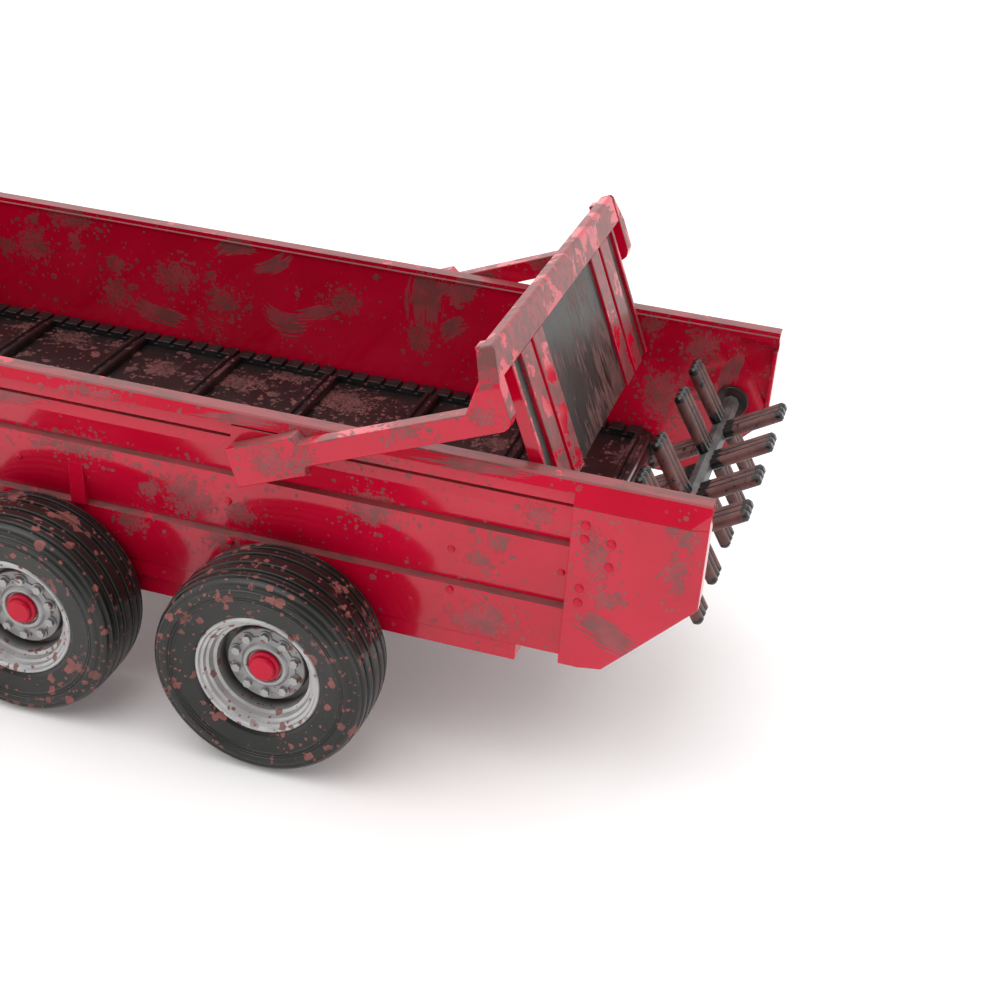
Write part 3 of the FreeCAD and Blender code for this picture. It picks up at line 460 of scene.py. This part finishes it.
def rubber():
    """Soft black tyre with small brown splashes, finely moulded."""
    paint = Paint("tyre_rubber")
    wear = paint.noise(18.0, 3.0, seed=61.0)[0]
    black = paint.mix(paint.step(wear, 0.35, 0.7), *TYRE_BLACK)
    drops = paint.most(paint.dots(1.5, 0.50, 62.0), paint.dots(3.2, 0.62, 64.0, 0.5))
    field = paint.step(paint.noise(20.0, 2.0, seed=65.0)[0], 0.40, 0.48)
    thrown = paint.step(paint.sum("MULTIPLY", drops, field), 0.3, 0.5)
    lone = paint.dots(4.0, 0.36, 67.0, 0.4)
    mask = paint.most(thrown, lone, sponge(paint, 9.0, 0.10, 63.0))
    tone = paint.noise(8.0, 3.0, seed=66.0)[0]
    mud = paint.mix(paint.step(tone, 0.4, 0.6), *TYRE_MUD)
    finish_mud(paint, paint.sum("MULTIPLY", mask, 0.85), black, 0.30, 0.6, None, mud)
    paint.set(Coat_Weight=0.15, Coat_Roughness=0.22, Specular_IOR_Level=0.34)
    return paint.material


def silver():
    """Silver-painted wheel with brown spots, and painted shade darkening it towards its moat."""
    paint = Paint("wheel_silver")
    tone = paint.noise(9.0, 3.0, seed=71.0)[0]
    metal = paint.mix(paint.step(tone, 0.3, 0.7), *SILVER)
    drops = paint.most(paint.dots(1.3, 0.46, 72.0), paint.dots(2.8, 0.62, 74.0, 0.4))
    field = paint.step(paint.noise(14.0, 2.0, seed=75.0)[0], 0.36, 0.46)
    thrown = paint.step(paint.sum("MULTIPLY", drops, field), 0.3, 0.5)
    ring = paint.sum("MULTIPLY", sponge(paint, 6.0, 0.10, 73.0), 0.6)
    mask = paint.most(thrown, ring)
    spot = paint.mix(tone, *SILVER_MUD)
    # Painted shade: everything deeper than the flange face darkens towards SILVER_SHADE, most of
    # all at and inside the moat face.
    across = paint.sum("ABSOLUTE", paint.split(paint.place)[1])
    deep = paint.step(across, MOAT_FACE, FLANGE_FACE, 0.20, 1.0)
    metal = paint.mix(deep, SILVER_SHADE, metal)
    finish_mud(paint, paint.sum("MULTIPLY", mask, 0.9), metal, 0.34, 0.5, None, spot)
    paint.set(Metallic=paint.fade(mask, 0.45, 0.0))
    return paint.material


def steel():
    """Turned steel of the axles."""
    paint = Paint("axle_steel")
    turned = paint.vector("MULTIPLY", paint.place, (0.1, 4.0, 0.1))
    line = paint.noise(1.0, 2.0, place=turned, seed=81.0)[0]
    paint.set(Base_Color=paint.mix(line, *AXLE_STEEL), Metallic=1.0)
    paint.set(Roughness=paint.step(line, 0.3, 0.7, 0.25, 0.4), Normal=paint.height(line, 0.01))
    return paint.material


def on_wall(face, depth, *marks):
    """Dabs (along, up, half length, half height) on an upright face."""
    return [(x, face, z, wide, depth, tall) for x, z, wide, tall in marks]


def on_floor(depth, *marks):
    """Dabs (along, across, half length, half width) on the slatted floor."""
    return [(x, y, FLOOR_TOP, wide, deep, depth) for x, y, wide, deep in marks]


def strokes_on(face, *marks):
    """Strokes (along, up, half length, half width, tilt, curve) on an upright face."""
    return [(x, face, z, long, wide, tilt, curve) for x, z, long, wide, tilt, curve in marks]


# Where the mud sits, in millimetres forward of the rear axle, to the left and above the ground.
FLOOR_DABS = on_floor(
    9,
    (137, -49, 8, 6.5),
    (95, -38, 7.5, 7.5),
    (66, -39, 13, 7),
    (25, -41, 15, 9),
    (50, -51, 8, 4),
    (158, -50, 5, 4),
    (119, -50, 4.5, 3),
    (-37, -31, 8, 5),
    (-79, -41, 5, 9),
    (5, -8, 12, 9),
    (60, 12, 13, 8),
    (105, 20, 11, 10),
    (-30, 25, 13, 8),
    (180, 0, 10, 12),
)
REAR_INNER_DABS = on_wall(WALL_INSIDE, 5, (-85, 77, 7.5, 11.5), (-98, 98, 6.5, 6.5))
INNER_DABS = REAR_INNER_DABS + on_wall(WALL_INSIDE, 9, (142, 104, 10.5, 5)) + on_wall(
    WALL_INSIDE,
    5,
    (159, 90, 7.5, 7.5),
    (171, 88, 6, 4),
    (142, 94, 3, 4.5),
    (125, 88, 4.5, 4),
    (125, 77, 7, 6),
    (100, 88, 8.5, 6),
    (82, 82, 7.5, 6),
    (86, 91, 2.5, 2.5),
    (33, 90, 7, 5),
    (4, 81, 5, 6.5),
    (-80, 102, 5, 4.5),
)
INNER_STROKES = strokes_on(
    WALL_INSIDE,
    (108, 71, 15, 5.5, -12, -0.5),
    (76, 104, 11, 5, 12, 0.6),
    (57, 77, 12, 6.5, -10, -0.9),
    (43, 84, 13, 3.5, 22, -0.4),
    (61, 99, 11, 4, 32, -0.5),
    (3, 98, 15, 9, 82, 0.3),
    (-8, 88, 8, 4.5, 40, 0.5),
    (-108, 90, 11, 4.5, 78, 0.3),
)
OUTER_DABS = (
    on_wall(SKIRT_FACE, 6, (-60, 54, 9.5, 7.5))
    + on_wall(RIM_FACE, 4, (62, 104, 11, 2.5), (-4, 106, 7, 2), (-20, 99, 15, 2))
    + on_wall(
        STRAKE_FACE,
        6,
        (33, 74, 9.5, 9.5),
        (21, 62, 7.5, 4.5),
        (16, 72, 6, 4.5),
        (-25, 84, 7.5, 6),
        (70, 84, 14, 4),
        (-59, 74, 4.5, 3.5),
        (-75, 94, 5.5, 3.5),
        (53, 62, 7, 4),
        (-64, 81, 4, 3),
        (120, 80, 9, 8),
        (165, 70, 8, 9),
    )
)
OUTER_STROKES = strokes_on(RIM_FACE + 1, (15, 105, 18, 2.5, 4, 0), (-54, 105, 22, 2.5, 4, 0))
OUTER_STROKES += strokes_on(RIM_FACE - 1, (96, 96, 22, 3.5, 3, 0))
PLATE_DABS = REAR_INNER_DABS + on_wall(
    PLATE_FACE,
    5,
    (-93, 85, 4.5, 12),
    (-98, 73, 6.5, 4),
    (-116, 85, 3.5, 7.5),
    (-115, 104, 8.5, 5.5),
    (-117, 97, 4, 5),
    (-89, 101, 6, 3.5),
)
PLATE_STROKES = strokes_on(PLATE_FACE, (-98, 61, 15, 6.5, -24, 0.2), (-101, 105, 13, 2.5, 3, 0))
PLATE_STROKES += strokes_on(-PLATE_FACE, (-98, 62, 15, 6, -20, 0.2))
GATE_DABS = (
    on_wall(ARM_FACE, 9, (3, 97, 7.5, 6), (-7, 99, 5, 6), (-36, 116, 7, 4.5), (-58, 124, 4.5, 4))
    + on_wall(-ARM_FACE, 9, (-36, 116, 8, 5))
    + on_wall(30, 9, (-70, 140, 8, 7))
    + on_wall(-20, 12, (-72, 140, 8, 7))
)
MATERIALS = {
    "side_wall_left": red_plastic("red_wall_left", 0.085, 0.34, 11.0, OUTER_DABS, OUTER_STROKES),
    "side_wall_right": red_plastic("red_wall_right", 0.05, 0.34, 13.0, INNER_DABS, INNER_STROKES),
    "end_plate": red_plastic("red_plate", 0.08, 0.30, 15.0, PLATE_DABS, PLATE_STROKES),
    "plain": red_plastic("red_plain", 0.08, 0.30, 17.0),
    "gate": red_plastic("red_gate", 0.07, 0.25, 23.0, GATE_DABS, flecks=0.6, slope=0.12),
    "cap": red_plastic("red_cap", -0.5, -0.5, 29.0, flecks=0.2, shine=0.25),
    "black_plastic": black_plastic(),
    "chain": black_chain(),
    "grey_plastic": grey_panel(),
    "shaft": grey_shaft(),
    "bearing": bearing_black(),
    "tyre": rubber(),
    "wheel_metal": silver(),
    "axle_metal": steel(),
}
for row_letter in PADDLE_ROWS:
    MATERIALS[f"beater_paddles_{row_letter}"] = brown_paddles(row_letter)
NODE_MATERIALS = {
    "side_wall_left": "side_wall_left",
    "side_wall_right": "side_wall_right",
    "end_plate": "end_plate",
    "front_panel": "plain",
    "side_posts": "cap",
    "rivets": "cap",
    "apron_chain": "chain",
    "beater_shaft": "shaft",
    "beater_bearings": "bearing",
    "hub_cap": "cap",
}


def material_for(node):
    """A node's material: its own, its family's or its slot's."""
    if node in MATERIALS:
        return MATERIALS[node]
    for start, name in NODE_MATERIALS.items():
        if node.startswith(start):
            return MATERIALS[name]
    if SLOT_OF[node] != "red_plastic":
        return MATERIALS[SLOT_OF[node]]
    if node.startswith("gate_") and not node.startswith(("gate_bracket", "gate_pins")):
        return MATERIALS["gate"]
    return MATERIALS["plain"]


# ---------------------------------------------------------------- geometry
def add_piece(name, mesh, node):
    """Put a finished mesh in the scene on a CAD node's body, with its material."""
    piece = bpy.data.objects.new(name, mesh)
    bpy.context.scene.collection.objects.link(piece)
    mesh.materials.clear()
    mesh.materials.append(material_for(node))
    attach(piece, BODY_OF[node])
    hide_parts(node)
    return piece


def baked(piece, name):
    """A piece's mesh with its modifiers applied."""
    bpy.context.view_layer.update()
    graph = bpy.context.evaluated_depsgraph_get()
    mesh = bpy.data.meshes.new_from_object(piece.evaluated_get(graph))
    mesh.name = name
    return mesh


def smooth(mesh, angle=38):
    """Shade a mesh smooth up to an angle in degrees."""
    for polygon in mesh.polygons:
        polygon.use_smooth = True
    mesh.set_sharp_from_angle(angle=math.radians(angle))


def soften(node, width, segments, angle):
    """A CAD node's shape again, with its edges sharper than an angle rounded off."""
    mesh = bpy.data.meshes.new(f"skin_{node}")
    form = bmesh.new()
    form.from_mesh(NODES[node].data)
    bmesh.ops.remove_doubles(form, verts=form.verts, dist=0.002 * MM)
    flat = math.radians(1.0)
    bmesh.ops.dissolve_limit(form, angle_limit=flat, verts=form.verts, edges=form.edges)
    form.to_mesh(mesh)
    form.free()
    piece = bpy.data.objects.new("work", mesh)
    bpy.context.scene.collection.objects.link(piece)
    bevel = piece.modifiers.new("edges", "BEVEL")
    bevel.width = width * MM
    bevel.segments = segments
    bevel.limit_method = "ANGLE"
    bevel.angle_limit = math.radians(angle)
    bevel.use_clamp_overlap = True
    bevel.miter_outer = "MITER_ARC"
    result = baked(piece, f"skin_{node}")
    bpy.data.objects.remove(piece)
    smooth(result)
    final = add_piece(f"skin_{node}", result, node)
    even = final.modifiers.new("shade", "WEIGHTED_NORMAL")
    even.keep_sharp = True
    even.weight = 90
    return final


def lathe(name, profile, centre, side, steps=192):
    """Turn (across, radius) pairs, in millimetres, about the Y axis through a point."""
    form = bmesh.new()
    rings = []
    for across, radius in profile:
        ring = []
        for step in range(steps):
            angle = 2 * math.pi * step / steps
            offset = Vector((radius * math.cos(angle), side * across, radius * math.sin(angle)))
            ring.append(form.verts.new(centre + offset * MM))
        rings.append(ring)
    for first, second in zip(rings, rings[1:] + rings[:1]):
        for step in range(steps):
            after = (step + 1) % steps
            form.faces.new((first[step], first[after], second[after], second[step]))
    bmesh.ops.recalc_face_normals(form, faces=form.faces)
    mesh = bpy.data.meshes.new(name)
    form.to_mesh(mesh)
    form.free()
    return mesh


def rounded(points, reach, steps=3):
    """A profile with each corner replaced by a short curve no longer than "reach"."""
    result = []
    count = len(points)
    for index in range(count):
        here = Vector(points[index])
        before = Vector(points[index - 1])
        after = Vector(points[(index + 1) % count])
        back = before - here
        ahead = after - here
        cut = min(reach, back.length * 0.45, ahead.length * 0.45)
        start = here + back.normalized() * cut
        end = here + ahead.normalized() * cut
        for step in range(steps + 1):
            share = step / steps
            first = start.lerp(here, share)
            second = here.lerp(end, share)
            result.append(tuple(first.lerp(second, share)))
    return result


def tyre_profile(radius, half, bead):
    """Ribbed tread, moulded shoulder and ringed sidewall, from the tread's middle out."""
    side = [
        (1.9, radius),
        (2.2, radius - 1.1),
        (3.1, radius - 1.1),
        (3.4, radius - 0.05),
        (5.9, radius - 0.15),
        (6.2, radius - 1.2),
        (7.1, radius - 1.25),
        (7.4, radius - 0.3),
        (9.2, radius - 0.55),
        (9.5, radius - 1.5),
        (10.2, radius - 1.65),
        (10.5, radius - 0.9),
        (11.6, radius - 1.5),
        (half - 0.55, radius - 2.4),
        (half - 0.75, radius - 3.0),
        (half - 0.65, radius - 3.6),
        (half - 0.05, radius - 4.0),
        (half, radius - 5.0),
        (half - 0.1, radius - 5.8),
        (half - 0.45, radius - 6.0),
        (half - 0.45, radius - 6.2),
        (half - 0.25, radius - 6.4),
        (half - 0.32, radius - 6.7),
        (half - 0.6, radius - 6.8),
        (half - 0.6, radius - 7.0),
        (half - 0.45, radius - 7.2),
        (half - 0.55, radius - 7.6),
        (half - 0.85, radius - 7.8),
        (half - 1.55, bead + 1.1),
        (half - 1.95, bead + 0.5),
        (half - 2.3, bead),
    ]
    return side + [(-across, up) for across, up in reversed(side)]


def tyre(node, side):
    """A tyre turned afresh from the CAD tyre's box, with ribs and rings."""
    low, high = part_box(node)
    radius = (high.z - low.z) / 2 / MM
    half = (high.y - low.y) / 2 / MM
    rim_low, rim_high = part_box(node.replace("tyre", "wheel_rim"))
    bead = (rim_high.z - rim_low.z) / 2 / MM
    profile = rounded(tyre_profile(radius, half, bead), 0.25)
    mesh = lathe(f"skin_{node}", profile, middle(node), side)
    smooth(mesh, 60)
    add_piece(f"skin_{node}", mesh, node)


# Rounding of the edges: width in millimetres, facets, and the sharpness in degrees.
EDGES = {
    "wheel_rim": (0.2, 2, 24),
    "apron_chain": (0.2, 2, 24),
    "rivets": (0.25, 2, 24),
    "side_posts": (0.25, 2, 24),
    "beater_paddles": (0.3, 2, 40),
}
PLAIN_EDGE = (0.35, 3, 24)

for node in sorted(NODES):
    if node.startswith("tyre"):
        tyre(node, 1 if node.endswith("left") else -1)
    else:
        kinds = [edge for start, edge in EDGES.items() if node.startswith(start)]
        soften(node, *(kinds or [PLAIN_EDGE])[0])


# ---------------------------------------------------------------- stage
# Metres: half the floor's width, and how far it lies under the tyres.
FLOOR_REACH = 6.0
FLOOR_DROP = 0.0002


def floor():
    """Plain white studio floor, with a faint painted pink glow."""
    form = bmesh.new()
    reach = FLOOR_REACH
    corners = [(-reach, -reach), (reach, -reach), (reach, reach), (-reach, reach)]
    form.faces.new([form.verts.new((x, y, -FLOOR_DROP)) for x, y in corners])
    mesh = bpy.data.meshes.new("stage_floor")
    form.to_mesh(mesh)
    form.free()
    plane = bpy.data.objects.new("stage_floor", mesh)
    bpy.context.scene.collection.objects.link(plane)
    paint = Paint("stage_white")
    speck = paint.noise(40.0, 3.0, seed=90.0)[0]
    white = paint.mix(speck, *STUDIO_WHITE)
    paint.set(Base_Color=white, Roughness=0.75, Normal=paint.height(speck, 0.02))
    # Painted glow: the floor glows faintly pink, which lifts and tints the shadows cast on it.
    paint.set(Emission_Color=STUDIO_GLOW, Emission_Strength=0.10)
    mesh.materials.append(paint.material)


def direction(azimuth, elevation):
    """A unit vector from two angles in degrees; azimuth 90 is the left side."""
    flat = math.cos(math.radians(elevation))
    turn = math.radians(azimuth)
    rise = math.sin(math.radians(elevation))
    return Vector((flat * math.cos(turn), flat * math.sin(turn), rise))


def sun(name, strength, azimuth, elevation, size):
    """A soft light from a direction."""
    data = bpy.data.lights.new(name, "SUN")
    data.energy = strength
    data.angle = math.radians(size)
    lamp = bpy.data.objects.new(name, data)
    bpy.context.scene.collection.objects.link(lamp)
    lamp.rotation_euler = direction(azimuth, elevation).to_track_quat("Z", "Y").to_euler()


def surroundings(strength, dim, azimuth, elevation):
    """A white studio that is darker towards one direction, the unlit side of the room."""
    world = bpy.data.worlds.new("studio")
    world.use_nodes = True
    tree = world.node_tree
    background = tree.nodes["Background"]
    background.inputs["Strength"].default_value = strength
    coordinates = tree.nodes.new("ShaderNodeTexCoord")
    facing = tree.nodes.new("ShaderNodeVectorMath")
    facing.operation = "DOT_PRODUCT"
    facing.inputs[1].default_value = direction(azimuth, elevation)
    tree.links.new(coordinates.outputs["Generated"], facing.inputs[0])
    shade = tree.nodes.new("ShaderNodeMapRange")
    shade.interpolation_type = "SMOOTHSTEP"
    shade.inputs["From Min"].default_value = 0.45
    shade.inputs["From Max"].default_value = 0.85
    tree.links.new(facing.outputs["Value"], shade.inputs["Value"])
    tint = tree.nodes.new("ShaderNodeMix")
    tint.data_type = "RGBA"
    tint.inputs[6].default_value = ROOM_WHITE
    tint.inputs[7].default_value = (dim, dim, dim, 1)
    tree.links.new(shade.outputs["Result"], tint.inputs["Factor"])
    tree.links.new(tint.outputs[2], background.inputs["Color"])
    bpy.context.scene.world = world


# The camera stands off the left rear corner, looks down across the box and is rolled a little.
CAMERA_PLACE = Vector((REAR_AXLE / MM - 163.4, 450.4, 316.5))
CAMERA_TURN = math.radians(14.58)
CAMERA_DROP = math.radians(29.1)
CAMERA_ROLL = math.radians(4.44)
CAMERA_LENS = 58.4


def camera():
    """The camera and its turn, built from its looking direction."""
    data = bpy.data.cameras.new("camera")
    data.lens = CAMERA_LENS
    data.sensor_width = 36
    data.clip_start = 0.01
    eye = bpy.data.objects.new("camera", data)
    bpy.context.scene.collection.objects.link(eye)
    forward = Vector(
        (
            math.sin(CAMERA_TURN) * math.cos(CAMERA_DROP),
            -math.cos(CAMERA_TURN) * math.cos(CAMERA_DROP),
            -math.sin(CAMERA_DROP),
        )
    )
    level = forward.cross(Vector((0, 0, 1))).normalized()
    upright = level.cross(forward)
    right = level * math.cos(CAMERA_ROLL) + upright * math.sin(CAMERA_ROLL)
    top = upright * math.cos(CAMERA_ROLL) - level * math.sin(CAMERA_ROLL)
    turn = Matrix((right, top, -forward)).transposed().to_4x4()
    eye.matrix_world = Matrix.Translation(CAMERA_PLACE * MM) @ turn
    bpy.context.scene.camera = eye


floor()
surroundings(1.45, 0.16, 104, 24)
sun("key", 1.15, 60, 66, 60)
camera()
bpy.context.scene.view_settings.view_transform = "Standard"
